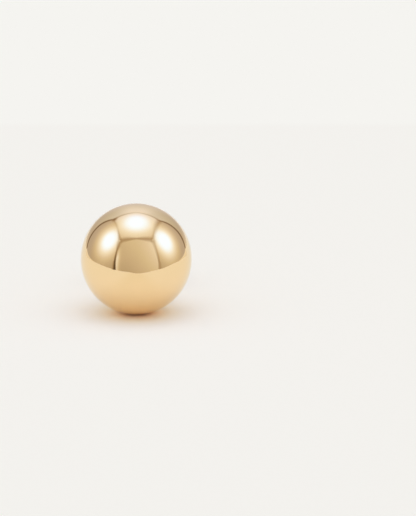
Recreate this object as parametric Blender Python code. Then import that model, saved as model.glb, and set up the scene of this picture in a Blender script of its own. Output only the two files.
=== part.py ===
"""A ball stud earring: a hollow gold ball with a soldered post, and a push back on the post.

It lies on a flat surface as it does by itself, on the ball and on the lower scroll of the push back, so the
post slopes down towards its tip. Lengths are in metres. +Y runs from the front of the ball towards the tip of
the post, +Z is up, and the origin is on the surface, under the middle of the earring's box.

Each piece is modelled about the post's axis, which is Y there, with the ball's centre at Y = 0. One empty then
carries them all to where they lie.
"""

import math

import bmesh
import bpy

MM = 0.001

# Ball
BALL_RADIUS = 5.0 * MM
BALL_WALL = 0.4 * MM
VENT_RADIUS = 0.35 * MM
VENT_OFFSET = 1.8 * MM  # from the post's axis to the vent's

# Post
POST_RADIUS = 0.4 * MM
POST_PAST_BACK = 3.8 * MM  # from the push back to the tip
SOLDER_RADIUS = 0.45 * MM  # of the fillet between ball and post
GROOVE_FROM_TIP = 1.6 * MM
GROOVE_LENGTH = 0.6 * MM
GROOVE_DEPTH = 0.06 * MM

# Push back, bent from one strip
LOBE_GAP = 4.5 * MM  # along the post, from the ball to the plate
SHEET = 0.35 * MM
SCROLL_RADIUS = 1.35 * MM  # to the outside of the sheet
SCROLL_GAP = 0.2 * MM  # inside a scroll, between its outer turn and its curl
SCROLL_TURN = math.radians(270.0)  # from the plate round to the post
CURL_TURN = math.radians(195.0)  # from the post on into the scroll
PLATE_WIDTH = 4.6 * MM
SCROLL_WIDTH = 3.2 * MM
CURL_WIDTH = 2.6 * MM
POST_CLEARANCE = 0.05 * MM

# Fineness
BALL_SIDES = 64
BALL_RINGS = 32
CAVITY_SIDES = 40
CAVITY_RINGS = 20
HOLE_SIDES = 32
FILLET_STEPS = 4
TIP_STEPS = 4
PLATE_STEPS = 10
SCROLL_STEPS = 24
CURL_STEPS = 12
SHARP_ANGLE = math.radians(35.0)

# Places that follow from the sizes
PLATE_FRONT = BALL_RADIUS + LOBE_GAP
SCROLL_Y = PLATE_FRONT + SCROLL_RADIUS
SCROLL_Z = POST_RADIUS + POST_CLEARANCE + SCROLL_RADIUS
HOLE_RADIUS = POST_RADIUS + POST_CLEARANCE
POST_TIP = SCROLL_Y + SCROLL_RADIUS + POST_PAST_BACK

GOLD = (0.83, 0.60, 0.28, 1.0)


def resting_tilt():
    """How far the post slopes down when the ball and the lower scroll both touch the surface."""
    reach = math.hypot(SCROLL_Y, SCROLL_Z)
    return math.asin((BALL_RADIUS - SCROLL_RADIUS) / reach) - math.atan2(SCROLL_Z, SCROLL_Y)


def arc(centre, radius, start, end, steps):
    """Points (y, z) on a circle about centre, from one angle to another."""
    angles = [start + (end - start) * i / steps for i in range(steps + 1)]
    return [(centre[0] + radius * math.cos(a), centre[1] + radius * math.sin(a)) for a in angles]


def gold(name, roughness):
    material = bpy.data.materials.new(name)
    material.use_nodes = True
    shader = material.node_tree.nodes["Principled BSDF"]
    shader.inputs["Base Color"].default_value = GOLD
    shader.inputs["Metallic"].default_value = 1.0
    shader.inputs["Roughness"].default_value = roughness
    return material


def new_object(name, bm, axis):
    """An object on the post's axis, with its faces pointing out and its round surfaces smooth."""
    bmesh.ops.recalc_face_normals(bm, faces=bm.faces)
    mesh = bpy.data.meshes.new(name)
    bm.to_mesh(mesh)
    bm.free()
    mesh.shade_smooth()
    mesh.set_sharp_from_angle(angle=SHARP_ANGLE)
    obj = bpy.data.objects.new(name, mesh)
    bpy.context.scene.collection.objects.link(obj)
    obj.parent = axis
    return obj


def turned(name, profile, sides, axis):
    """A solid of revolution about Y, from (y, radius) points that start and end on the axis."""
    bm = bmesh.new()
    first = bm.verts.new((0.0, profile[0][0], 0.0))
    last = bm.verts.new((0.0, profile[-1][0], 0.0))
    rings = []
    for y, radius in profile[1:-1]:
        turns = [math.tau * i / sides for i in range(sides)]
        rings.append([bm.verts.new((radius * math.cos(a), y, radius * math.sin(a))) for a in turns])
    for i in range(sides):
        j = (i + 1) % sides
        bm.faces.new((first, rings[0][i], rings[0][j]))
        bm.faces.new((last, rings[-1][j], rings[-1][i]))
        for near, far in zip(rings, rings[1:]):
            bm.faces.new((near[i], far[i], far[j], near[j]))
    return new_object(name, bm, axis)


def cutter(name, profile, sides, axis):
    """A turned guide that only cuts, and is not a piece of the earring."""
    guide = turned(name, profile, sides, axis)
    guide.hide_render = True
    guide.display_type = "WIRE"
    return guide


def cut(obj, guide):
    boolean = obj.modifiers.new(guide.name, "BOOLEAN")
    boolean.operation = "DIFFERENCE"
    boolean.solver = "EXACT"
    boolean.object = guide


def ball_profile(radius, rings):
    return arc((0.0, 0.0), radius, math.pi, 0.0, rings)


def rod_profile(start, end, radius):
    return [(start, 0.0), (start, radius), (end, radius), (end, 0.0)]


def post_profile():
    """The solder fillet, tangent to ball and post, then the post with its groove and round tip."""
    off_axis = POST_RADIUS + SOLDER_RADIUS
    from_centre = BALL_RADIUS + SOLDER_RADIUS
    fillet_y = math.sqrt(from_centre**2 - off_axis**2)
    to_ball = math.atan2(-off_axis, -fillet_y)
    fillet = arc((fillet_y, off_axis), SOLDER_RADIUS, to_ball, -math.pi / 2, FILLET_STEPS)
    groove_end = POST_TIP - GROOVE_FROM_TIP
    groove_start = groove_end - GROOVE_LENGTH
    floor_radius = POST_RADIUS - GROOVE_DEPTH
    groove = [
        (groove_start, POST_RADIUS),
        (groove_start + GROOVE_DEPTH, floor_radius),
        (groove_end - GROOVE_DEPTH, floor_radius),
        (groove_end, POST_RADIUS),
    ]
    tip = arc((POST_TIP - POST_RADIUS, 0.0), POST_RADIUS, math.pi / 2, 0.0, TIP_STEPS)
    return fillet + groove + tip


def make_ball_and_post(axis):
    """The ball's outside and the post are one turned surface, and the hollow and its vent are cut from it."""
    outside = post_profile()
    where_solder_starts = outside[0][0]
    ball = [point for point in ball_profile(BALL_RADIUS, BALL_RINGS) if point[0] < where_solder_starts]
    piece = turned("ball_and_post", ball + outside, BALL_SIDES, axis)
    piece.data.materials.append(gold("polished_gold", 0.05))
    cavity = cutter("cavity", ball_profile(BALL_RADIUS - BALL_WALL, CAVITY_RINGS), CAVITY_SIDES, axis)
    vent = cutter("vent", rod_profile(0.0, BALL_RADIUS, VENT_RADIUS), HOLE_SIDES, axis)
    vent.location.z = -VENT_OFFSET
    cut(piece, cavity)
    cut(piece, vent)
    return piece


def bend(centre, radius, angle, width):
    """A station where the strip runs clockwise round a centre."""
    y = centre[0] + radius * math.cos(angle)
    z = centre[1] + radius * math.sin(angle)
    return y, z, angle - math.pi / 2, width


def strip_half():
    """Half of the bent strip, from the plate's middle to the end of the upper scroll's curl.

    Each station is (y, z) in the middle of the sheet, the angle that it runs in, and its width.
    """
    turn_radius = SCROLL_RADIUS - SHEET / 2
    curl_radius = turn_radius - SHEET - SCROLL_GAP
    turn_end = math.pi - SCROLL_TURN
    curl_y = SCROLL_Y + (turn_radius - curl_radius) * math.cos(turn_end)
    curl_z = SCROLL_Z + (turn_radius - curl_radius) * math.sin(turn_end)
    stations = []
    for i in range(PLATE_STEPS):
        share = i / PLATE_STEPS
        bulge = math.cos(share * math.pi / 2) ** 2
        width = SCROLL_WIDTH + (PLATE_WIDTH - SCROLL_WIDTH) * bulge
        stations.append((PLATE_FRONT + SHEET / 2, SCROLL_Z * share, math.pi / 2, width))
    for i in range(SCROLL_STEPS):
        angle = math.pi - SCROLL_TURN * i / SCROLL_STEPS
        stations.append(bend((SCROLL_Y, SCROLL_Z), turn_radius, angle, SCROLL_WIDTH))
    for i in range(CURL_STEPS + 1):
        share = i / CURL_STEPS
        width = SCROLL_WIDTH + (CURL_WIDTH - SCROLL_WIDTH) * share
        stations.append(bend((curl_y, curl_z), curl_radius, turn_end - CURL_TURN * share, width))
    return stations


def make_push_back(axis):
    upper = strip_half()
    lower = [(y, -z, math.pi - angle, width) for y, z, angle, width in upper[:0:-1]]
    bm = bmesh.new()
    sections = []
    for y, z, angle, width in lower + upper:
        section = []
        for side, face in ((-1, -1), (1, -1), (1, 1), (-1, 1)):
            off_y = -face * math.sin(angle) * SHEET / 2
            off_z = face * math.cos(angle) * SHEET / 2
            section.append(bm.verts.new((side * width / 2, y + off_y, z + off_z)))
        sections.append(section)
    for near, far in zip(sections, sections[1:]):
        for i in range(4):
            j = (i + 1) % 4
            bm.faces.new((near[i], far[i], far[j], near[j]))
    bm.faces.new(sections[0])
    bm.faces.new(reversed(sections[-1]))
    piece = new_object("push_back", bm, axis)
    piece.data.materials.append(gold("sheet_gold", 0.14))
    hole = rod_profile(PLATE_FRONT - SHEET, PLATE_FRONT + 2 * SHEET, HOLE_RADIUS)
    cut(piece, cutter("post_hole", hole, HOLE_SIDES, axis))
    return piece


def resting_axis():
    """The empty that carries the pieces: at the ball's centre, sloping with the post."""
    tilt = resting_tilt()
    tip = (POST_TIP - POST_RADIUS) * math.cos(tilt) + POST_RADIUS
    axis = bpy.data.objects.new("post_axis", None)
    bpy.context.scene.collection.objects.link(axis)
    axis.location = (0.0, (BALL_RADIUS - tip) / 2, BALL_RADIUS)
    axis.rotation_euler.x = -tilt
    return axis


def clear_scene():
    for obj in list(bpy.data.objects):
        bpy.data.objects.remove(obj, do_unlink=True)


clear_scene()
post_axis = resting_axis()
make_ball_and_post(post_axis)
make_push_back(post_axis)
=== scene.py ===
import math

import bpy
import numpy as np
from mathutils import Matrix, Vector


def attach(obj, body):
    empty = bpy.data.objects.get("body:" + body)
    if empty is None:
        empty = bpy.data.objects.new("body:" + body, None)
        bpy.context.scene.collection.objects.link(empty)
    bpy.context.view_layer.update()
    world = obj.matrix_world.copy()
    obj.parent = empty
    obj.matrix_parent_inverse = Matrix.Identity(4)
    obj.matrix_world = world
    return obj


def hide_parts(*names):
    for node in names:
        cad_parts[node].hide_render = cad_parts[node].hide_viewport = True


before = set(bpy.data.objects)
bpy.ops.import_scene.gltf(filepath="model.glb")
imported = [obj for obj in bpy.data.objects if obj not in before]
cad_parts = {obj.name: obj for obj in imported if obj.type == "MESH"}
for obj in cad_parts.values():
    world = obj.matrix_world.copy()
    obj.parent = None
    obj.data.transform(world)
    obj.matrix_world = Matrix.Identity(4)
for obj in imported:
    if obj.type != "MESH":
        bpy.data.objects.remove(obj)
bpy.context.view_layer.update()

MM = 0.001

# Sizes of the earring, as in the solids
BALL_RADIUS = 5.0 * MM
BALL_WALL = 0.4 * MM
VENT_RADIUS = 0.35 * MM
VENT_OFFSET = 1.8 * MM
POST_RADIUS = 0.4 * MM
POST_PAST_BACK = 3.8 * MM
SOLDER_RADIUS = 0.45 * MM
GROOVE_FROM_TIP = 1.6 * MM
GROOVE_LENGTH = 0.6 * MM
GROOVE_DEPTH = 0.06 * MM
LOBE_GAP = 4.5 * MM
SHEET = 0.35 * MM
SCROLL_RADIUS = 1.35 * MM
SCROLL_GAP = 0.2 * MM
SCROLL_TURN = math.radians(270.0)
CURL_TURN = math.radians(195.0)
PLATE_WIDTH = 4.6 * MM
SCROLL_WIDTH = 3.2 * MM
CURL_WIDTH = 2.6 * MM
POST_CLEARANCE = 0.05 * MM

# Finer forms that only the looks have
GROOVE_SHOULDER = GROOVE_LENGTH / 4
VENT_LIP = 0.05 * MM
SHEET_EDGE_RADIUS = 0.09 * MM
HOLE_LIP = 0.05 * MM
DIMPLE_DEPTH = 0.12 * MM
DIMPLE_REACH = 0.86 * MM
END_ROLL = math.radians(80.0)  # how far a strip's round end turns before a flat face closes it

# Fineness of the meshes
BALL_SIDES = 192
BALL_RINGS = 96
CAVITY_SIDES = 96
CAVITY_RINGS = 48
HOLE_SIDES = 48
FILLET_STEPS = 10
GROOVE_STEPS = 6
TIP_STEPS = 12
PLATE_STEPS = 24
SCROLL_STEPS = 72
CURL_STEPS = 36
CORNER_STEPS = 4
END_STEPS = 4
FACE_COLUMNS = 21
HOLE_RINGS = 12
LIP_STEPS = 4
EDGE_COLUMN = 0.02  # from a face's edge to its next line, where the face is 2 across
RING_CROWDING = 1.4  # the power by which the rings crowd towards the hole
SHARP_ANGLE = math.radians(32.0)
ON_BALL = 1e-5 * BALL_RADIUS  # a point this close to the ball's outside is on it

# Places that follow from the sizes
PLATE_FRONT = BALL_RADIUS + LOBE_GAP
SCROLL_Y = PLATE_FRONT + SCROLL_RADIUS
SCROLL_Z = POST_RADIUS + POST_CLEARANCE + SCROLL_RADIUS
HOLE_RADIUS = POST_RADIUS + POST_CLEARANCE
POST_TIP = SCROLL_Y + SCROLL_RADIUS + POST_PAST_BACK
SCROLL_REACH = math.hypot(SCROLL_Y, SCROLL_Z)
TILT = math.asin((BALL_RADIUS - SCROLL_RADIUS) / SCROLL_REACH) - math.atan2(SCROLL_Z, SCROLL_Y)
REACH_BEHIND = (POST_TIP - POST_RADIUS) * math.cos(TILT) + POST_RADIUS
BALL_CENTRE = Vector((0.0, (BALL_RADIUS - REACH_BEHIND) / 2, BALL_RADIUS))
POST_AXIS = Matrix.Translation(BALL_CENTRE) @ Matrix.Rotation(-TILT, 4, "X")

# Camera, with its lens and sensor in millimetres
CAMERA_ELEVATION = math.radians(14.0)
CAMERA_DISTANCE = 300.0 * MM
CAMERA_LENS = 289.3
CAMERA_SENSOR = 36.0
AIM_RIGHT = 6.438 * MM  # from the ball's centre to where the camera aims
AIM_UP = 0.076 * MM
CLIP_START = 10.0 * MM
CLIP_END = 10.0

# Bounces of the light
ALL_BOUNCES = 24
SOFT_BOUNCES = 12
MIRROR_BOUNCES = 12
FIRST_BOUNCE = 0.5  # a ray's count of bounces is above this from its first one

# Gold. Drift and marks are in cells a metre along each axis, and gloss is roughness from its low to its high.
GRAZING_TINT = (0.93, 0.97, 1.0)
DRIFT = (700.0, 700.0, 700.0)
DRIFT_DETAIL = 3.0
MARK_DETAIL = 4.0
BALL_TONES = ((0.955, 0.703, 0.388), (0.945, 0.697, 0.382))
BALL_GLOSS = (0.03, 0.06)
BUFF_MARKS = (9000.0, 2500.0, 5000.0)
BUFF_DEPTH = 0.0001 * MM
SHEET_TONES = ((0.95, 0.70, 0.385), (0.90, 0.64, 0.33))
SHEET_GLOSS = (0.10, 0.24)
ROLLED_LINES = (22000.0, 350.0, 350.0)
ROLLED_DEPTH = 0.002 * MM
NOISE_LOW = 0.35  # most of the noise lies between these two
NOISE_HIGH = 0.65

# Floor
FLOOR_RADIUS = 1.2
FLOOR_SIDES = 96
FLOOR_TONE = (0.940, 0.925, 0.890)
SKY_LIGHT = 0.956
BACK_TONE = (0.955, 0.946, 0.911)
BACK_START = 76.2 * MM  # in Y, where the floor starts to grow paler
BACK_END = 79.8 * MM
PAPER_TOOTH = (2600.0, 2600.0, 2600.0)
TOOTH_DETAIL = 5.0
PAPER_MOTTLE = 0.003
PAPER_RELIEF = 0.002 * MM

# Soft lamps that light the floor: (azimuth, elevation, sharpness, share of the floor's light)
LAMPS = [(0.0, 88.0, 5.0, 0.58), (-77.0, 38.0, 8.0, 0.035), (80.0, 38.0, 8.0, 0.035)]
SKY_STEPS = 180  # of elevation, for adding up a lamp's light

# The light fades in above the horizon, by the height of the direction to it
LIGHT_START = 0.05
LIGHT_FULL = 0.30
HORIZON_LOSS = 0.015  # the share of the floor's light that this takes, which the even light makes up

# What the gold throws on the floor: the panels' light, and a painted glow of the floor's own that stands in
# for light bounced round the ball, as (distance from the contact in ball radii, colour)
PANEL_THROWN = (0.47, 0.52, 1.60)
PAINTED_BOUNCE_REACH = 6.0 * BALL_RADIUS
PAINTED_BOUNCE_GLOW = [
    (0.16, (0.0, 0.0, 0.0)),
    (0.3, (0.09, 0.03, 0.0)),
    (0.45, (0.34, 0.20, 0.03)),
    (0.85, (0.61, 0.79, 0.50)),
    (1.5, (0.95, 1.15, 2.00)),
    (3.0, (0.34, 0.42, 1.05)),
    (6.0, (0.20, 0.25, 0.80)),
]
# The painted glow of the floor fades out round the push back's foot too
FOOT_START = 0.8 * MM  # from the middle of the push back's foot, where thrown light fades out too
FOOT_END = 5.0 * MM

# Painted reflection: the floor on either side of the ball glows a little paler and cooler, seen only in the
# gold
PAINTED_SIDE_GLOW = (0.02, 0.045, 0.10)
SIDE_START = 0.4 * BALL_RADIUS
SIDE_END = 1.6 * BALL_RADIUS

# Tent. Directions from the ball's centre are (azimuth, elevation) in degrees, with azimuth 0 towards -Y and
# 90 towards +X, and floor points are (x, y) from the ball's centre in ball radii.
TENT_RADIUS = 60.0 * MM
SEAM_LIFT = 0.97  # seams lie this much nearer to the ball than the panels
EDGE_STEPS = 96
SEAM_COLUMNS = 9
SKIRT_TONE = (0.88, 0.86, 0.83)  # of what closes the tent below the floor
SKIRT_DEPTH = 1.0 * MM

# Light of a panel, by its glow
PANEL_TONES = [
    (0.00, (0.45, 0.40, 0.34)),
    (0.20, (0.62, 0.57, 0.51)),
    (0.35, (0.72, 0.69, 0.62)),
    (0.50, (0.80, 0.79, 0.80)),
    (0.62, (0.88, 0.92, 1.00)),
    (0.72, (0.94, 1.02, 1.18)),
    (0.82, (1.00, 1.17, 1.58)),
    (0.92, (1.02, 1.38, 2.30)),
    (1.00, (1.04, 1.50, 3.00)),
]
COOL_TINT = (1.0, 1.03, 1.2)  # of the panels towards the back
COOL_START = 0.1  # in the Y of the direction to them
COOL_END = 0.45

# Bright spots on the panels: (azimuth, elevation, half width, half height, power, darkest, brightest). The
# half sizes are shares of the distance, and a higher power gives a firmer edge.
SPOTS = {
    "left": (-72.2, 36.9, 0.485, 0.53, 3.4, 0.08, 0.97),
    "right": (76.8, 34.2, 0.465, 0.56, 3.6, 0.10, 0.97),
    "top": (160.0, 88.6, 0.60, 0.60, 3.0, 0.22, 0.97),
}

# Glow of the front panel: level and straight ahead, and what it gains with height, to the right and far right
FRONT_GLOW = 0.20
FRONT_BY_HEIGHT = 0.24
FRONT_BY_RIGHT = 0.22
FRONT_FAR_RIGHT = 0.25
FAR_RIGHT_BY_HEIGHT = 1.5
FRONT_BRIGHTEST = 0.65

# The front panel's left edge is lit in strips of (glow, half width in degrees), which fade out with height
LIT_EDGE = -37.6
LIT_STRIPS = [(0.44, 4.6), (0.09, 13.0)]
LIT_TOP = 0.57
LIT_FADE = 0.32

# The backdrop in the gold, by the height of the direction to it (0 level, 1 overhead)
BACKDROP = [
    (0.0, (0.96, 0.93, 0.97)),
    (0.05, (0.83, 0.79, 0.84)),
    (0.10, (0.77, 0.72, 0.75)),
    (0.17, (0.71, 0.67, 0.69)),
    (0.49, (0.79, 0.815, 0.914)),
    (0.71, (0.89, 0.956, 1.20)),
]
SIDE_DIM = (0.79, 0.78, 0.73)  # of the backdrop to the sides
DIM_START = 0.08  # in the X of the direction to it
DIM_END = 0.42

# Colour of a seam, by its darkness
SEAM_TONES = [(0.0, (0.30, 0.19, 0.07)), (0.55, (0.28, 0.17, 0.06)), (1.0, (0.07, 0.05, 0.035))]


def direction(azimuth, elevation):
    """The unit vector that points that way."""
    a = math.radians(azimuth)
    e = math.radians(elevation)
    return Vector((math.sin(a) * math.cos(e), -math.cos(a) * math.cos(e), math.sin(e)))


def on_tent(azimuth, elevation):
    """A point of the tent."""
    return BALL_CENTRE + direction(azimuth, elevation) * TENT_RADIUS


def on_floor(x, y):
    """A point of the floor."""
    return Vector((x * BALL_RADIUS, BALL_CENTRE.y + y * BALL_RADIUS, 0.0))


def foot():
    """The floor under the lower scroll, where the push back touches it."""
    scroll = POST_AXIS @ Vector((0.0, SCROLL_Y, -SCROLL_Z))
    return Vector((scroll.x, scroll.y, 0.0))


LEFT_FRONT_LOW = on_floor(-4.22, -4.88)
RIGHT_FRONT_LOW = on_floor(4.75, -4.59)
LEFT_FRONT_HIGH = on_tent(-43.8, 45.0)
RIGHT_FRONT_HIGH = on_tent(48.5, 46.0)
LEFT_BACK_LOW = on_tent(-124.6, 2.1)
RIGHT_BACK_LOW = on_tent(126.5, 1.9)
LEFT_BACK_HIGH = on_tent(-131.5, 50.2)
RIGHT_BACK_HIGH = on_tent(129.1, 49.6)

# Where the panels' edges run
EDGES = {
    "front_left": [LEFT_FRONT_LOW, on_tent(-41.8, 9.8), on_tent(-42.1, 28.5), LEFT_FRONT_HIGH],
    "front_right": [RIGHT_FRONT_LOW, on_tent(46.4, 9.2), on_tent(46.2, 27.8), RIGHT_FRONT_HIGH],
    "front_top": [LEFT_FRONT_HIGH, on_tent(-20.1, 52.4), on_tent(4.3, 54.5), on_tent(25.6, 52.4),
                  RIGHT_FRONT_HIGH],
    "left_top": [LEFT_FRONT_HIGH, on_tent(-67.1, 56.7), on_tent(-105.2, 59.3), LEFT_BACK_HIGH],
    "right_top": [RIGHT_FRONT_HIGH, on_tent(70.5, 55.8), on_tent(109.1, 56.9), RIGHT_BACK_HIGH],
    "top_back": [LEFT_BACK_HIGH, on_tent(-158.4, 58.1), on_tent(178.8, 58.9), on_tent(154.9, 58.2),
                 RIGHT_BACK_HIGH],
    "left_back": [LEFT_BACK_LOW, on_tent(-130.5, 9.2), on_tent(-134.1, 26.2), LEFT_BACK_HIGH],
    "right_back": [RIGHT_BACK_LOW, on_tent(130.8, 15.1), on_tent(131.2, 30.8), RIGHT_BACK_HIGH],
    "front_floor": [LEFT_FRONT_LOW, on_floor(-1.43, -5.09), on_floor(0.49, -4.41), on_floor(2.85, -4.77),
                    RIGHT_FRONT_LOW],
    "left_floor": [LEFT_FRONT_LOW, on_floor(-6.06, -4.73), on_floor(-8.89, -3.89), on_tent(-80.4, -5.1),
                   on_tent(-97.6, -3.7), on_tent(-111.3, -1.6), LEFT_BACK_LOW],
    "right_floor": [RIGHT_FRONT_LOW, on_floor(5.86, -4.16), on_floor(7.99, -3.67), on_tent(81.6, -5.2),
                    on_tent(99.4, -3.7), on_tent(114.2, -1.3), RIGHT_BACK_LOW],
}

# Seams along the edges: (share of the edge's length, half the width in millimetres, darkness from 0 to 1)
SEAMS = {
    "front_left": [(0.0, 4.0, 1.0), (0.38, 4.8, 1.0), (0.7, 3.4, 0.75), (0.87, 6.5, 0.6), (0.97, 8.0, 0.5),
                   (1.0, 8.0, 0.1)],
    "front_right": [(0.0, 4.0, 0.45), (0.38, 6.0, 0.5), (0.7, 5.0, 0.4), (0.87, 6.0, 0.4), (0.97, 8.0, 0.5),
                    (1.0, 8.0, 0.1)],
    "front_top": [(0.0, 8.0, 0.1), (0.03, 8.0, 0.6), (0.25, 7.0, 0.6), (0.5, 3.2, 0.6), (0.75, 7.0, 0.6),
                  (0.97, 8.0, 0.6), (1.0, 8.0, 0.1)],
    "left_top": [(0.0, 6.0, 0.1), (0.03, 6.0, 0.55), (0.25, 3.4, 0.45), (0.5, 3.4, 0.2), (0.85, 4.0, 0.2),
                 (1.0, 6.0, 0.9)],
    "right_top": [(0.0, 6.0, 0.1), (0.03, 6.0, 0.45), (0.25, 4.5, 0.3), (0.5, 6.5, 0.35), (1.0, 6.5, 0.5)],
    "top_back": [(0.0, 6.0, 0.9), (0.12, 4.0, 0.4), (0.5, 2.0, 0.3), (0.88, 4.0, 0.4), (1.0, 5.0, 0.6)],
    "left_back": [(0.0, 3.0, 0.9), (0.2, 4.4, 1.0), (0.5, 4.0, 1.0), (1.0, 3.4, 0.8)],
    "right_back": [(0.0, 3.0, 0.9), (0.2, 4.8, 1.0), (0.5, 3.6, 1.0), (1.0, 3.2, 0.8)],
}


def mesh_object(name, vertices, faces, material):
    """An object of one mesh, shaded smooth, with one material."""
    mesh = bpy.data.meshes.new(name)
    mesh.from_pydata([tuple(v) for v in vertices], [], faces)
    mesh.validate()
    mesh.materials.append(material)
    mesh.shade_smooth()
    obj = bpy.data.objects.new(name, mesh)
    bpy.context.scene.collection.objects.link(obj)
    return obj


def arc(centre, radius, start, end, steps):
    """Points (y, z) on a circle about centre, from one angle to another."""
    angles = [start + (end - start) * i / steps for i in range(steps + 1)]
    return [(centre[0] + radius * math.cos(a), centre[1] + radius * math.sin(a)) for a in angles]


def turned(name, profile, sides, material):
    """A closed surface turned about Y, from (y, radius) points that start and end on the axis."""
    turns = [math.tau * i / sides for i in range(sides)]
    vertices = [(0.0, profile[0][0], 0.0)]
    for y, radius in profile[1:-1]:
        vertices += [(radius * math.cos(a), y, radius * math.sin(a)) for a in turns]
    last = len(vertices)
    vertices.append((0.0, profile[-1][0], 0.0))
    faces = []
    rings = len(profile) - 2
    for i in range(sides):
        j = (i + 1) % sides
        faces.append((0, 1 + i, 1 + j))
        faces.append((last, last - sides + j, last - sides + i))
        for k in range(rings - 1):
            near, far = 1 + k * sides, 1 + (k + 1) * sides
            faces.append((near + i, far + i, far + j, near + j))
    return mesh_object(name, vertices, faces, material)


def subtract(obj, cutters):
    """Cuts the cutters out of obj and deletes them."""
    for cutter in cutters:
        boolean = obj.modifiers.new(cutter.name, "BOOLEAN")
        boolean.operation = "DIFFERENCE"
        boolean.solver = "EXACT"
        boolean.object = cutter
    bpy.context.view_layer.update()
    graph = bpy.context.evaluated_depsgraph_get()
    mesh = bpy.data.meshes.new_from_object(obj.evaluated_get(graph))
    obj.modifiers.clear()
    obj.data = mesh
    for cutter in cutters:
        bpy.data.objects.remove(cutter, do_unlink=True)


def lay_down(mesh, normals):
    """Moves a mesh from the post's axis to where the earring lies, and gives its corners these normals."""
    mesh.transform(POST_AXIS)
    turn = POST_AXIS.to_3x3()
    mesh.normals_split_custom_set([tuple(turn @ Vector(normal)) for normal in normals])


def finish_piece(obj, node):
    """The piece stands for its CAD node, in the same place."""
    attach(obj, "root")
    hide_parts(node)


# Ball and post


def groove_profile():
    """The ring groove near the tip, with soft shoulders."""
    end = POST_TIP - GROOVE_FROM_TIP
    start = end - GROOVE_LENGTH
    points = []
    for i in range(GROOVE_STEPS + 1):
        share = i / GROOVE_STEPS
        depth = GROOVE_DEPTH * (1 - math.cos(math.pi * share)) / 2
        points.append((start + GROOVE_SHOULDER * share, POST_RADIUS - depth))
    mirrored = [(start + end - y, radius) for y, radius in reversed(points)]
    return points + mirrored


def ball_and_post_profile():
    """The ball, the solder fillet tangent to ball and post, then the post with its groove and round tip."""
    off_axis = POST_RADIUS + SOLDER_RADIUS
    fillet_y = math.sqrt((BALL_RADIUS + SOLDER_RADIUS) ** 2 - off_axis**2)
    to_ball = math.atan2(-off_axis, -fillet_y)
    fillet = arc((fillet_y, off_axis), SOLDER_RADIUS, to_ball, -math.pi / 2, FILLET_STEPS)
    ball_end = math.atan2(fillet[0][1], fillet[0][0])
    ball = arc((0.0, 0.0), BALL_RADIUS, math.pi, ball_end, BALL_RINGS)
    tip = arc((POST_TIP - POST_RADIUS, 0.0), POST_RADIUS, math.pi / 2, 0.0, TIP_STEPS)
    return ball + fillet[1:] + groove_profile() + tip


def ball_normals(mesh):
    """The normal at each corner of a face, which on the ball's outside is the sphere's own.

    A mirror shows every facet otherwise.
    """
    normals = [tuple(corner.vector) for corner in mesh.corner_normals]
    on_ball = [abs(v.co.length - BALL_RADIUS) < ON_BALL for v in mesh.vertices]
    for face in mesh.polygons:
        if all(on_ball[v] for v in face.vertices):
            for corner, v in zip(face.loop_indices, face.vertices):
                normals[corner] = tuple(mesh.vertices[v].co.normalized())
    return normals


def vent_cutters(material):
    """The vent beside the post, and a shallow lip square to the ball's surface."""
    bore = [(0.0, 0.0), (0.0, VENT_RADIUS), (BALL_RADIUS, VENT_RADIUS), (BALL_RADIUS, 0.0)]
    vent = turned("vent", bore, HOLE_SIDES, material)
    vent.location.z = -VENT_OFFSET
    slope = math.asin(VENT_OFFSET / BALL_RADIUS)
    inside = BALL_RADIUS - VENT_LIP
    outside = BALL_RADIUS + VENT_LIP
    narrow = VENT_RADIUS / math.cos(slope)
    cone = [(inside, 0.0), (inside, narrow), (outside, narrow + 2 * VENT_LIP), (outside, 0.0)]
    lip = turned("vent_lip", cone, HOLE_SIDES, material)
    lip.rotation_euler.x = -slope
    return [vent, lip]


def make_ball_and_post(material):
    """Ball and post are one turned surface, and the hollow and the vent are cut from it."""
    piece = turned("ball_and_post_gold", ball_and_post_profile(), BALL_SIDES, material)
    cavity_profile = arc((0.0, 0.0), BALL_RADIUS - BALL_WALL, math.pi, 0.0, CAVITY_RINGS)
    cavity = turned("cavity", cavity_profile, CAVITY_SIDES, material)
    subtract(piece, [cavity] + vent_cutters(material))
    piece.data.set_sharp_from_angle(angle=SHARP_ANGLE)
    lay_down(piece.data, ball_normals(piece.data))
    finish_piece(piece, "ball_and_post")


# Push back


def bend(centre, radius, angle, width):
    """A station where the strip runs clockwise round a centre: (y, z, direction, width, roll of its end)."""
    y = centre[0] + radius * math.cos(angle)
    z = centre[1] + radius * math.sin(angle)
    return y, z, angle - math.pi / 2, width, 0.0


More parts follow.
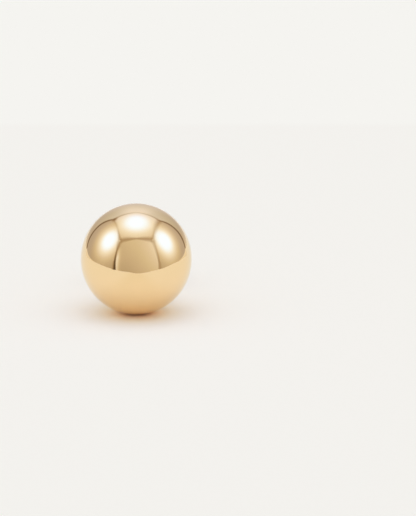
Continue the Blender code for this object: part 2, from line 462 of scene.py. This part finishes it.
def strip_half():
    """Half of the bent strip, from the plate's middle to the round end of the upper scroll's curl."""
    turn_radius = SCROLL_RADIUS - SHEET / 2
    curl_radius = turn_radius - SHEET - SCROLL_GAP
    turn_end = math.pi - SCROLL_TURN
    curl_y = SCROLL_Y + (turn_radius - curl_radius) * math.cos(turn_end)
    curl_z = SCROLL_Z + (turn_radius - curl_radius) * math.sin(turn_end)
    stations = []
    for i in range(PLATE_STEPS):
        share = i / PLATE_STEPS
        width = SCROLL_WIDTH + (PLATE_WIDTH - SCROLL_WIDTH) * math.cos(share * math.pi / 2) ** 2
        stations.append((PLATE_FRONT + SHEET / 2, SCROLL_Z * share, math.pi / 2, width, 0.0))
    for i in range(SCROLL_STEPS):
        angle = math.pi - SCROLL_TURN * i / SCROLL_STEPS
        stations.append(bend((SCROLL_Y, SCROLL_Z), turn_radius, angle, SCROLL_WIDTH))
    end_turn = SHEET_EDGE_RADIUS / curl_radius
    for i in range(CURL_STEPS + 1):
        share = i / CURL_STEPS
        width = SCROLL_WIDTH + (CURL_WIDTH - SCROLL_WIDTH) * share
        angle = turn_end - (CURL_TURN - end_turn) * share
        stations.append(bend((curl_y, curl_z), curl_radius, angle, width))
    for i in range(1, END_STEPS + 1):
        roll = END_ROLL * i / END_STEPS
        angle = turn_end - CURL_TURN + end_turn * (1 - math.sin(roll))
        y, z, run, width, _ = bend((curl_y, curl_z), curl_radius, angle, CURL_WIDTH)
        stations.append((y, z, run, width, roll))
    return stations


def face_columns():
    """Where the lengthwise lines run on a face of the strip, from -1 to 1, closer together by the edges."""
    even = [-1 + 2 * i / (FACE_COLUMNS - 3) for i in range(FACE_COLUMNS - 2)]
    return [even[0], even[0] + EDGE_COLUMN] + even[1:-1] + [even[-1] - EDGE_COLUMN, even[-1]]


def section(width, roll):
    """Points round the strip's cross-section as (x, off, normal x, normal off). The outer face comes first.

    Off is the distance from the middle of the sheet, and roll is how far the round end has turned.
    """
    inset = SHEET_EDGE_RADIUS * (1 - math.cos(roll))
    corner = SHEET_EDGE_RADIUS - inset
    flat_x = width / 2 - SHEET_EDGE_RADIUS
    flat_off = SHEET / 2 - SHEET_EDGE_RADIUS
    quarter = [math.pi / 2 * i / CORNER_STEPS for i in range(CORNER_STEPS + 1)]
    half = [(flat_x * c, flat_off + corner, 0.0, 1.0) for c in face_columns()]
    half += [(flat_x + corner * math.sin(a), flat_off + corner * math.cos(a), math.sin(a), math.cos(a))
             for a in quarter[1:]]
    half += [(flat_x + corner * math.cos(a), -flat_off - corner * math.sin(a), math.cos(a), -math.sin(a))
             for a in quarter[:-1]]
    return half + [(-x, -off, -normal_x, -normal_off) for x, off, normal_x, normal_off in half]


def dimple(radius):
    """Depth of the dish round the post's hole, and its slope."""
    start = HOLE_RADIUS + HOLE_LIP
    if radius >= DIMPLE_REACH:
        return 0.0, 0.0
    turn = math.pi * (radius - start) / (DIMPLE_REACH - start)
    depth = DIMPLE_DEPTH * (1 + math.cos(turn)) / 2
    slope = -DIMPLE_DEPTH * math.sin(turn) / 2 * math.pi / (DIMPLE_REACH - start)
    return depth, slope


def hole_ring(rim, share, side):
    """One ring of the plate's face between its rim (share 1) and the hole's lip (share 0)."""
    ring = []
    start = HOLE_RADIUS + HOLE_LIP
    face_y = PLATE_FRONT + SHEET / 2 - side * SHEET / 2
    for x, z in rim:
        angle = math.atan2(z, x)
        radius = start + (math.hypot(x, z) - start) * share
        depth, slope = dimple(radius)
        place = (radius * math.cos(angle), face_y + depth, radius * math.sin(angle))
        lean = side * slope
        normal = Vector((lean * math.cos(angle), -side, lean * math.sin(angle))).normalized()
        ring.append((place, normal))
    return ring


def lip_ring(rim, roll, side):
    """One ring of the hole's rounded lip, from the face (roll 0) to the hole's wall (roll 90 degrees)."""
    ring = []
    face_y = PLATE_FRONT + SHEET / 2 - side * SHEET / 2 + DIMPLE_DEPTH
    radius = HOLE_RADIUS + HOLE_LIP * (1 - math.sin(roll))
    y = face_y + side * HOLE_LIP * (1 - math.cos(roll))
    for x, z in rim:
        angle = math.atan2(z, x)
        place = (radius * math.cos(angle), y, radius * math.sin(angle))
        inward = -math.sin(roll)
        normal = Vector((inward * math.cos(angle), -side * math.cos(roll), inward * math.sin(angle)))
        ring.append((place, normal))
    return ring


def strip_sections():
    """Points and normals of the strip, section by section, and the number of the plate's middle section."""
    upper = strip_half()
    lower = [(y, -z, math.pi - run, width, roll) for y, z, run, width, roll in upper[:0:-1]]
    middle = len(lower)
    vertices, normals = [], []
    for index, (y, z, run, width, roll) in enumerate(lower + upper):
        out_y, out_z = -math.sin(run), math.cos(run)
        end = 1 if index > middle else -1
        for x, off, normal_x, normal_off in section(width, roll):
            vertices.append((x, y + off * out_y, z + off * out_z))
            across = Vector((normal_x, normal_off * out_y, normal_off * out_z))
            along = Vector((0.0, math.cos(run), math.sin(run))) * end
            normals.append(across * math.cos(roll) + along * math.sin(roll))
    return vertices, normals, middle


def strip_faces(count, around, first, last):
    """Faces between the sections and on both ends, but none on the plate's two faces from first to last."""
    inner_face = around // 2
    face_strips = set(range(FACE_COLUMNS - 1)) | set(range(inner_face, inner_face + FACE_COLUMNS - 1))
    faces = []
    for k in range(count - 1):
        for i in range(around):
            if first <= k < last and i in face_strips:
                continue
            j = (i + 1) % around
            faces.append((k * around + i, k * around + j, (k + 1) * around + j, (k + 1) * around + i))
    faces.append(tuple(reversed(range(around))))
    faces.append(tuple(range((count - 1) * around, count * around)))
    return faces


def plate_rims(around, first, last):
    """The points round what strip_faces leaves out, on the plate's front and on its back."""
    walk = [(first, c) for c in range(FACE_COLUMNS - 1)]
    walk += [(k, FACE_COLUMNS - 1) for k in range(first, last)]
    walk += [(last, c) for c in range(FACE_COLUMNS - 1, 0, -1)]
    walk += [(k, 0) for k in range(last, first, -1)]
    back_edge = around // 2 + FACE_COLUMNS - 1
    front = [k * around + c for k, c in walk]
    back = [k * around + back_edge - c for k, c in walk]
    return front, back


def hole_rings(rim):
    """Rings that run in over the front's dish, round the lip, through the hole and out over the back."""
    shares = [(1 - i / HOLE_RINGS) ** RING_CROWDING for i in range(1, HOLE_RINGS + 1)]
    rolls = [math.pi / 2 * i / LIP_STEPS for i in range(1, LIP_STEPS + 1)]
    rings = [hole_ring(rim, share, 1) for share in shares]
    rings += [lip_ring(rim, roll, 1) for roll in rolls]
    rings += [lip_ring(rim, roll, -1) for roll in reversed(rolls)]
    rings += [hole_ring(rim, share, -1) for share in reversed(shares)]
    return rings


def make_push_back(material):
    """The strip is one grid of sections, and round the hole its two faces are rings instead."""
    vertices, normals, middle = strip_sections()
    around = len(section(SCROLL_WIDTH, 0.0))
    first = middle - PLATE_STEPS // 2
    last = middle + PLATE_STEPS // 2
    faces = strip_faces(len(vertices) // around, around, first, last)
    front_rim, back_rim = plate_rims(around, first, last)
    loops = [front_rim]
    for ring in hole_rings([(vertices[i][0], vertices[i][2]) for i in front_rim]):
        start = len(vertices)
        vertices += [place for place, _ in ring]
        normals += [normal for _, normal in ring]
        loops.append(list(range(start, start + len(ring))))
    loops.append(back_rim)
    for near, far in zip(loops, loops[1:]):
        for i in range(len(near)):
            j = (i + 1) % len(near)
            faces.append((near[i], near[j], far[j], far[i]))
    piece = mesh_object("push_back_gold", vertices, faces, material)
    lay_down(piece.data, [normals[loop.vertex_index] for loop in piece.data.loops])
    finish_piece(piece, "push_back")


# Materials


def noise(tree, stretch, detail):
    """Noise fixed to the earring, as fine along each axis as its stretch, in cells a metre."""
    place = tree.nodes.new("ShaderNodeTexCoord")
    mapping = tree.nodes.new("ShaderNodeMapping")
    mapping.inputs["Scale"].default_value = stretch
    pattern = tree.nodes.new("ShaderNodeTexNoise")
    pattern.inputs["Scale"].default_value = 1.0
    pattern.inputs["Detail"].default_value = detail
    tree.links.new(place.outputs["Object"], mapping.inputs["Vector"])
    tree.links.new(mapping.outputs["Vector"], pattern.inputs["Vector"])
    return pattern.outputs["Fac"]


def spread(tree, value, low, high):
    """The noise's middle range, spread from one number to another."""
    wider = tree.nodes.new("ShaderNodeMapRange")
    wider.inputs["From Min"].default_value = NOISE_LOW
    wider.inputs["From Max"].default_value = NOISE_HIGH
    wider.inputs["To Min"].default_value = low
    wider.inputs["To Max"].default_value = high
    tree.links.new(value, wider.inputs["Value"])
    return wider.outputs["Result"]


def mixed(tree, share, first, second):
    """The first colour where the share is 0, and the second where it is 1."""
    mix = tree.nodes.new("ShaderNodeMix")
    mix.data_type = "RGBA"
    mix.inputs["A"].default_value = (*first, 1.0)
    mix.inputs["B"].default_value = (*second, 1.0)
    tree.links.new(share, mix.inputs["Factor"])
    return mix.outputs["Result"]


def bump(tree, height, distance):
    """The normal of a relief that rises by this distance where the height is 1."""
    relief = tree.nodes.new("ShaderNodeBump")
    relief.inputs["Distance"].default_value = distance
    tree.links.new(height, relief.inputs["Height"])
    return relief.outputs["Normal"]


def gold(name, tones, roughness, marks, depth):
    """Gold whose tone and gloss drift a little, with fine marks left by the tools."""
    material = bpy.data.materials.new(name)
    material.use_nodes = True
    tree = material.node_tree
    shader = tree.nodes["Principled BSDF"]
    shader.inputs["Metallic"].default_value = 1.0
    shader.inputs["Specular Tint"].default_value = (*GRAZING_TINT, 1.0)
    drift = spread(tree, noise(tree, DRIFT, DRIFT_DETAIL), 0.0, 1.0)
    tree.links.new(mixed(tree, drift, *tones), shader.inputs["Base Color"])
    fine = noise(tree, marks, MARK_DETAIL)
    tree.links.new(spread(tree, fine, *roughness), shader.inputs["Roughness"])
    tree.links.new(bump(tree, fine, depth), shader.inputs["Normal"])
    return material


def polished_gold():
    """Buffed until it mirrors, with faint short marks that cross the surface."""
    return gold("polished_gold_fine", BALL_TONES, BALL_GLOSS, BUFF_MARKS, BUFF_DEPTH)


def sheet_gold():
    """Rolled sheet, less bright, with fine lines along the strip."""
    return gold("sheet_gold_fine", SHEET_TONES, SHEET_GLOSS, ROLLED_LINES, ROLLED_DEPTH)


def soft_step(tree, value, start, end):
    """A number that runs smoothly from 0 to 1 as the value goes from start to end."""
    step = tree.nodes.new("ShaderNodeMapRange")
    step.interpolation_type = "SMOOTHSTEP"
    step.inputs["From Min"].default_value = start
    step.inputs["From Max"].default_value = end
    tree.links.new(value, step.inputs["Value"])
    return step.outputs["Result"]


def size_of(tree, value):
    """The value without its sign."""
    size = tree.nodes.new("ShaderNodeMath")
    size.operation = "ABSOLUTE"
    tree.links.new(value, size.inputs[0])
    return size.outputs["Value"]


def once_thrown(tree, path):
    """1 for light on its way to a dull surface, and 0 for what the camera sees, also in the gold."""
    thrown = tree.nodes.new("ShaderNodeMath")
    thrown.operation = "GREATER_THAN"
    thrown.inputs[1].default_value = FIRST_BOUNCE
    tree.links.new(path.outputs["Diffuse Depth"], thrown.inputs[0])
    return thrown.outputs["Value"]


def colour_ramp(tree, value, stops):
    """The colour at a value from 0 to 1, from (position, colour) stops."""
    ramp = tree.nodes.new("ShaderNodeValToRGB")
    elements = ramp.color_ramp.elements
    while len(elements) < len(stops):
        elements.new(0.5)
    for element, (position, colour) in zip(elements, stops):
        element.position = position
        element.color = (*colour, 1.0)
    tree.links.new(value, ramp.inputs["Fac"])
    return ramp.outputs["Color"]


def distance_from(tree, place, point):
    """How far a place is from one point."""
    distance = tree.nodes.new("ShaderNodeVectorMath")
    distance.operation = "DISTANCE"
    distance.inputs[1].default_value = point
    tree.links.new(place, distance.inputs[0])
    return distance.outputs["Value"]


def painted_bounce_glow(tree, place):
    """Painted light: a glow of the floor, seen only by the gold after a bounce off the floor, that stands in
    for light the gold throws back. It fades out round the push back's foot.
    """
    reach = tree.nodes.new("ShaderNodeMapRange")
    reach.inputs["From Max"].default_value = PAINTED_BOUNCE_REACH
    tree.links.new(distance_from(tree, place, on_floor(0.0, 0.0)), reach.inputs["Value"])
    stops = [(ball_radii * BALL_RADIUS / PAINTED_BOUNCE_REACH, colour) for ball_radii, colour in PAINTED_BOUNCE_GLOW]
    faded = tree.nodes.new("ShaderNodeVectorMath")
    faded.operation = "SCALE"
    tree.links.new(colour_ramp(tree, reach.outputs["Result"], stops), faded.inputs["Vector"])
    clear = soft_step(tree, distance_from(tree, place, foot()), FOOT_START, FOOT_END)
    tree.links.new(clear, faded.inputs["Scale"])
    return faded.outputs["Vector"]


def painted_side_glow(tree, place):
    """Painted reflection: the glow that the floor on either side of the ball gives off in the gold."""
    split = tree.nodes.new("ShaderNodeSeparateXYZ")
    tree.links.new(place, split.inputs["Vector"])
    share = soft_step(tree, size_of(tree, split.outputs["X"]), SIDE_START, SIDE_END)
    return mixed(tree, share, (0.0, 0.0, 0.0), PAINTED_SIDE_GLOW)


def painted_floor_glow(tree, place):
    """Painted light that the floor gives off only in the gold, as a colour and a strength."""
    path = tree.nodes.new("ShaderNodeLightPath")
    glow = tree.nodes.new("ShaderNodeMix")
    glow.data_type = "RGBA"
    tree.links.new(once_thrown(tree, path), glow.inputs["Factor"])
    tree.links.new(painted_side_glow(tree, place), glow.inputs["A"])
    tree.links.new(painted_bounce_glow(tree, place), glow.inputs["B"])
    return glow.outputs["Result"], path.outputs["Is Glossy Ray"]


def paper():
    """Pale paper with a faint tooth, a paler sheet behind, and a painted glow that shows only in the gold."""
    material = bpy.data.materials.new("pale_paper")
    material.use_nodes = True
    tree = material.node_tree
    shader = tree.nodes["Principled BSDF"]
    shader.inputs["Roughness"].default_value = 1.0
    shader.inputs["Specular IOR Level"].default_value = 0.0
    place = tree.nodes.new("ShaderNodeTexCoord").outputs["Object"]
    split = tree.nodes.new("ShaderNodeSeparateXYZ")
    tree.links.new(place, split.inputs["Vector"])
    behind = soft_step(tree, split.outputs["Y"], BACK_START, BACK_END)
    plain = mixed(tree, behind, FLOOR_TONE, BACK_TONE)
    tooth = noise(tree, PAPER_TOOTH, TOOTH_DETAIL)
    mottled = tree.nodes.new("ShaderNodeVectorMath")
    mottled.operation = "SCALE"
    tree.links.new(plain, mottled.inputs["Vector"])
    tree.links.new(spread(tree, tooth, 1 - PAPER_MOTTLE, 1 + PAPER_MOTTLE), mottled.inputs["Scale"])
    tree.links.new(mottled.outputs["Vector"], shader.inputs["Base Color"])
    tree.links.new(bump(tree, tooth, PAPER_RELIEF), shader.inputs["Normal"])
    # painted light: the floor's glow, seen only in the gold
    colour, strength = painted_floor_glow(tree, place)
    tree.links.new(colour, shader.inputs["Emission Color"])
    tree.links.new(strength, shader.inputs["Emission Strength"])
    return material


def stored(tree, name):
    """The number that store() keeps on a mesh."""
    number = tree.nodes.new("ShaderNodeAttribute")
    number.attribute_name = name
    return number.outputs["Fac"]


def either(tree, share, first, second):
    """The first shader where the share is 0, and the second where it is 1."""
    mix = tree.nodes.new("ShaderNodeMixShader")
    tree.links.new(share, mix.inputs["Fac"])
    tree.links.new(first, mix.inputs[1])
    tree.links.new(second, mix.inputs[2])
    return mix.outputs["Shader"]


def bare_material(name):
    """A material with nothing but its output, its node tree, and the output's socket."""
    material = bpy.data.materials.new(name)
    material.use_nodes = True
    tree = material.node_tree
    tree.nodes.clear()
    output = tree.nodes.new("ShaderNodeOutputMaterial")
    return material, tree, output.inputs["Surface"]


def glow_material():
    """Turns the glow stored on a panel, from 0 to 1, into the panel's light."""
    material, tree, surface = bare_material("panel_glow")
    tone = tree.nodes.new("ShaderNodeMix")
    tone.data_type = "RGBA"
    tone.blend_type = "MULTIPLY"
    tone.inputs["B"].default_value = (*COOL_TINT, 1.0)
    tree.links.new(stored(tree, "cool"), tone.inputs["Factor"])
    tree.links.new(colour_ramp(tree, stored(tree, "glow"), PANEL_TONES), tone.inputs["A"])
    seen = tree.nodes.new("ShaderNodeEmission")
    tree.links.new(tone.outputs["Result"], seen.inputs["Color"])
    thrown = tree.nodes.new("ShaderNodeEmission")
    thrown.inputs["Color"].default_value = (*PANEL_THROWN, 1.0)
    share = once_thrown(tree, tree.nodes.new("ShaderNodeLightPath"))
    tree.links.new(either(tree, share, seen.outputs["Emission"], thrown.outputs["Emission"]), surface)
    return material


def seam_shade():
    """Hides what is behind a seam by the shade stored on it, from 0 to 1."""
    material, tree, surface = bare_material("seam_shade")
    shade = stored(tree, "shade")
    clear = tree.nodes.new("ShaderNodeBsdfTransparent")
    dark = tree.nodes.new("ShaderNodeEmission")
    tree.links.new(colour_ramp(tree, shade, SEAM_TONES), dark.inputs["Color"])
    tree.links.new(either(tree, shade, clear.outputs["BSDF"], dark.outputs["Emission"]), surface)
    return material


def plain_light(name, colour):
    """Light of one colour."""
    material, tree, surface = bare_material(name)
    emission = tree.nodes.new("ShaderNodeEmission")
    emission.inputs["Color"].default_value = (*colour, 1.0)
    tree.links.new(emission.outputs["Emission"], surface)
    return material


# Studio


def make_floor():
    """One flat round sheet, wide enough to reach the horizon."""
    turns = [math.tau * i / FLOOR_SIDES for i in range(FLOOR_SIDES)]
    rim = [(FLOOR_RADIUS * math.cos(a), FLOOR_RADIUS * math.sin(a), 0.0) for a in turns]
    floor = mesh_object("floor", rim, [tuple(range(FLOOR_SIDES))], paper())


def only_mirrored(obj):
    """The object is seen in the gold and nowhere else."""
    obj.visible_camera = False
    obj.visible_diffuse = False
    obj.visible_shadow = False
    obj.visible_transmission = False
    obj.visible_volume_scatter = False


def smooth_curve(points, steps):
    """Evenly spaced points on a smooth curve through the given ones."""
    fine = []
    padded = [points[0] * 2 - points[1]] + points + [points[-1] * 2 - points[-2]]
    for a, b, c, d in zip(padded, padded[1:], padded[2:], padded[3:]):
        for i in range(steps):
            t = i / steps
            straight = (2 * b) + (c - a) * t
            bent = (2 * a - 5 * b + 4 * c - d) * t**2
            twisted = (3 * b - a - 3 * c + d) * t**3
            fine.append(0.5 * (straight + bent + twisted))
    fine.append(points[-1])
    lengths = np.cumsum([0.0] + [(q - p).length for p, q in zip(fine, fine[1:])])
    even = np.linspace(0.0, lengths[-1], steps + 1)
    flat = np.array([tuple(p) for p in fine])
    return np.stack([np.interp(even, lengths, flat[:, axis]) for axis in range(3)], axis=1)


def grid_faces(rows, columns):
    """Faces of a grid of points, given row by row."""
    faces = []
    for r in range(rows - 1):
        for c in range(columns - 1):
            i = r * columns + c
            faces.append((i, i + 1, i + columns + 1, i + columns))
    return faces


def patch(low, high, start, end):
    """A grid of points that fills four edge curves."""
    s = np.linspace(0.0, 1.0, len(low))[None, :, None]
    t = np.linspace(0.0, 1.0, len(start))[:, None, None]
    ruled = (1 - t) * low[None] + t * high[None] + (1 - s) * start[:, None] + s * end[:, None]
    corners = (1 - s) * (1 - t) * low[0] + s * (1 - t) * low[-1] + (1 - s) * t * high[0] + s * t * high[-1]
    return ruled - corners


def smooth_share(value, start, end):
    """What soft_step does, for a plain number."""
    share = min(1.0, max(0.0, (value - start) / (end - start)))
    return share * share * (3 - 2 * share)


def store(obj, name, values):
    """Keeps one number for each point of a mesh, for its material to read."""
    attribute = obj.data.attributes.new(name, "FLOAT", "POINT")
    attribute.data.foreach_set("value", values)


def make_panel(name, low, high, start, end, glow, material):
    """A panel stretched between four edge curves, with its glow and its coolness kept on it."""
    grid = patch(low, high, start, end)
    rows, columns, _ = grid.shape
    points = grid.reshape(-1, 3)
    panel = mesh_object(name, points, grid_faces(rows, columns), material)
    ways = [(Vector(p) - BALL_CENTRE).normalized() for p in points]
    store(panel, "glow", [glow(way) for way in ways])
    store(panel, "cool", [smooth_share(way.y, COOL_START, COOL_END) for way in ways])
    only_mirrored(panel)


def spot(azimuth, elevation, half_width, half_height, power, low, high):
    """Brightness round the lamp behind a panel, by the direction from the ball."""
    centre = direction(azimuth, elevation)
    across = Vector((math.cos(math.radians(azimuth)), math.sin(math.radians(azimuth)), 0.0))
    upward = centre.cross(across)

    def glow(way):
        far = math.hypot(way.dot(across) / half_width, way.dot(upward) / half_height)
        if way.dot(centre) < 0:
            return low
        return low + (high - low) * math.exp(-(far**power))

    return glow


def front_glow(way):
    """The panel by the camera is dull, brighter at the top and on the right, and lit along its left edge."""
    far_right = FRONT_FAR_RIGHT * max(0.0, way.x) ** 2 * (1 + FAR_RIGHT_BY_HEIGHT * way.z)
    slope = FRONT_GLOW + FRONT_BY_HEIGHT * way.z + FRONT_BY_RIGHT * way.x + far_right
    from_edge = math.degrees(math.atan2(way.x, -way.y)) - LIT_EDGE
    strips = sum(glow * math.exp(-((from_edge / width) ** 2)) for glow, width in LIT_STRIPS)
    fade = min(1.0, max(0.0, (LIT_TOP - way.z) / LIT_FADE))
    return min(FRONT_BRIGHTEST, max(0.0, slope + fade * strips))


def make_seam(name, curve, stations, material):
    """A soft dark strip along an edge, a little nearer to the ball than the panels."""
    points = [BALL_CENTRE + (Vector(p) - BALL_CENTRE) * SEAM_LIFT for p in curve]
    shares = np.linspace(0.0, 1.0, len(points))
    places, widths, depths = zip(*stations)
    reach = np.interp(shares, places, widths) * MM
    depth = np.interp(shares, places, depths)
    across = np.linspace(-1.0, 1.0, SEAM_COLUMNS)
    vertices, shades = [], []
    for i, point in enumerate(points):
        tangent = points[min(i + 1, len(points) - 1)] - points[max(i - 1, 0)]
        side = tangent.cross(point - BALL_CENTRE).normalized()
        vertices += [point + side * (reach[i] * s) for s in across]
        shades += [depth[i] * math.cos(math.pi / 2 * s) ** 2 for s in across]
    seam = mesh_object("seam_" + name, vertices, grid_faces(len(points), SEAM_COLUMNS), material)
    store(seam, "shade", shades)
    only_mirrored(seam)


def make_skirt(name, edge, material):
    """Closes the tent from a panel's edge down to below the floor."""
    low = edge.copy()
    low[:, 2] = -SKIRT_DEPTH
    points = np.concatenate([low, edge])
    only_mirrored(mesh_object(name, points, grid_faces(2, len(edge)), material))


def make_tent():
    """Four panels round the ball and over it, open at the back, with seams where they meet."""
    curves = {name: smooth_curve(points, EDGE_STEPS) for name, points in EDGES.items()}
    panels = {
        "tent_left": ("left_floor", "left_top", "front_left", "left_back", spot(*SPOTS["left"])),
        "tent_right": ("right_floor", "right_top", "front_right", "right_back", spot(*SPOTS["right"])),
        "tent_top": ("front_top", "top_back", "left_top", "right_top", spot(*SPOTS["top"])),
        "tent_front": ("front_floor", "front_top", "front_left", "front_right", front_glow),
    }
    light = glow_material()
    for name, (*edges, glow) in panels.items():
        make_panel(name, *(curves[edge] for edge in edges), glow, light)
    shade = seam_shade()
    for name, stations in SEAMS.items():
        make_seam(name, curves[name], stations, shade)
    skirt = plain_light("skirt", SKIRT_TONE)
    make_skirt("tent_skirt_left", curves["left_floor"], skirt)
    make_skirt("tent_skirt_right", curves["right_floor"], skirt)


def floor_share(azimuth, elevation, sharpness):
    """The light that a lamp of brightness 1 puts on the floor, as a share of an even sky's."""
    heights = (np.arange(SKY_STEPS) + 0.5) / SKY_STEPS * math.pi / 2
    turns = (np.arange(2 * SKY_STEPS) + 0.5) / SKY_STEPS * math.pi
    height, turn = np.meshgrid(heights, turns, indexing="ij")
    way = [np.sin(turn) * np.cos(height), -np.cos(turn) * np.cos(height), np.sin(height)]
    facing = sum(part * along for part, along in zip(way, direction(azimuth, elevation)))
    brightness = np.exp(sharpness * (facing - 1))
    cell = (math.pi / 2 / SKY_STEPS) * (math.pi / SKY_STEPS)
    return float((brightness * np.sin(height) * np.cos(height)).sum() * cell / math.pi)


def lamp_nodes(tree, way, azimuth, elevation, sharpness, share):
    """A soft round lamp in the sky, as a number that falls off round its direction."""
    facing = tree.nodes.new("ShaderNodeVectorMath")
    facing.operation = "DOT_PRODUCT"
    facing.inputs[1].default_value = direction(azimuth, elevation)
    falloff = tree.nodes.new("ShaderNodeMath")
    falloff.operation = "MULTIPLY_ADD"
    falloff.inputs[1].default_value = sharpness
    falloff.inputs[2].default_value = -sharpness
    lobe = tree.nodes.new("ShaderNodeMath")
    lobe.operation = "EXPONENT"
    lamp = tree.nodes.new("ShaderNodeMath")
    lamp.operation = "MULTIPLY"
    lamp.inputs[1].default_value = SKY_LIGHT * share / floor_share(azimuth, elevation, sharpness)
    tree.links.new(way, facing.inputs[0])
    tree.links.new(facing.outputs["Value"], falloff.inputs[0])
    tree.links.new(falloff.outputs["Value"], lobe.inputs[0])
    tree.links.new(lobe.outputs["Value"], lamp.inputs[0])
    return lamp.outputs["Value"]


def sky(tree, way, height):
    """The light that reaches the floor: even but for the lamps, and fading out towards the horizon."""
    even = tree.nodes.new("ShaderNodeValue")
    even.outputs["Value"].default_value = SKY_LIGHT * (1 + HORIZON_LOSS - sum(share for *_, share in LAMPS))
    total = even.outputs["Value"]
    for lamp in LAMPS:
        both = tree.nodes.new("ShaderNodeMath")
        both.operation = "ADD"
        tree.links.new(total, both.inputs[0])
        tree.links.new(lamp_nodes(tree, way, *lamp), both.inputs[1])
        total = both.outputs["Value"]
    faded = tree.nodes.new("ShaderNodeMath")
    faded.operation = "MULTIPLY"
    tree.links.new(total, faded.inputs[0])
    tree.links.new(soft_step(tree, height, LIGHT_START, LIGHT_FULL), faded.inputs[1])
    return faded.outputs["Value"]


def mirrored_backdrop(tree, height, sideways):
    """The backdrop's tone in the gold, by height, and dimmer to the sides."""
    backdrop = tree.nodes.new("ShaderNodeMix")
    backdrop.data_type = "RGBA"
    backdrop.blend_type = "MULTIPLY"
    backdrop.inputs["B"].default_value = (*SIDE_DIM, 1.0)
    aside = soft_step(tree, size_of(tree, sideways), DIM_START, DIM_END)
    tree.links.new(aside, backdrop.inputs["Factor"])
    tree.links.new(colour_ramp(tree, height, BACKDROP), backdrop.inputs["A"])
    return backdrop.outputs["Result"]


def make_world():
    """Light on the floor, the floor's own tone behind it, and a backdrop that only the gold shows."""
    world = bpy.data.worlds.new("studio")
    bpy.context.scene.world = world
    world.use_nodes = True
    tree = world.node_tree
    tree.nodes.clear()
    path = tree.nodes.new("ShaderNodeLightPath")
    way = tree.nodes.new("ShaderNodeTexCoord").outputs["Generated"]
    split = tree.nodes.new("ShaderNodeSeparateXYZ")
    tree.links.new(way, split.inputs["Vector"])
    light = tree.nodes.new("ShaderNodeBackground")
    light.inputs["Color"].default_value = (1.0, 1.0, 1.0, 1.0)
    tree.links.new(sky(tree, way, split.outputs["Z"]), light.inputs["Strength"])
    mirrored = tree.nodes.new("ShaderNodeBackground")
    backdrop = mirrored_backdrop(tree, split.outputs["Z"], split.outputs["X"])
    tree.links.new(backdrop, mirrored.inputs["Color"])
    seen = tree.nodes.new("ShaderNodeBackground")
    seen.inputs["Color"].default_value = (*(SKY_LIGHT * tone for tone in BACK_TONE), 1.0)
    in_gold = path.outputs["Is Glossy Ray"]
    by_camera = path.outputs["Is Camera Ray"]
    unseen = either(tree, in_gold, light.outputs["Background"], mirrored.outputs["Background"])
    output = tree.nodes.new("ShaderNodeOutputWorld")
    tree.links.new(either(tree, by_camera, unseen, seen.outputs["Background"]), output.inputs["Surface"])


def make_camera():
    """Looks down a little from in front, with the ball left of the middle."""
    data = bpy.data.cameras.new("camera")
    data.sensor_fit = "HORIZONTAL"
    data.sensor_width = CAMERA_SENSOR
    data.lens = CAMERA_LENS
    data.clip_start = CLIP_START
    data.clip_end = CLIP_END
    camera = bpy.data.objects.new("camera", data)
    bpy.context.scene.collection.objects.link(camera)
    back = Vector((0.0, -math.cos(CAMERA_ELEVATION), math.sin(CAMERA_ELEVATION)))
    up = Vector((0.0, math.sin(CAMERA_ELEVATION), math.cos(CAMERA_ELEVATION)))
    aim = BALL_CENTRE + Vector((AIM_RIGHT, 0.0, 0.0)) + up * AIM_UP
    camera.location = aim + back * CAMERA_DISTANCE
    camera.rotation_euler = (-back).to_track_quat("-Z", "Y").to_euler()
    bpy.context.scene.camera = camera


def set_view():
    """Colours as they are, and enough bounces for the light between the gold and the floor."""
    view = bpy.context.scene.view_settings
    view.view_transform = "Standard"
    view.look = "None"
    view.exposure = 0.0
    view.gamma = 1.0
    cycles = bpy.context.scene.cycles
    cycles.max_bounces = ALL_BOUNCES
    cycles.diffuse_bounces = SOFT_BOUNCES
    cycles.glossy_bounces = MIRROR_BOUNCES


make_camera()
make_ball_and_post(polished_gold())
make_push_back(sheet_gold())
make_floor()
make_tent()
make_world()
set_view()
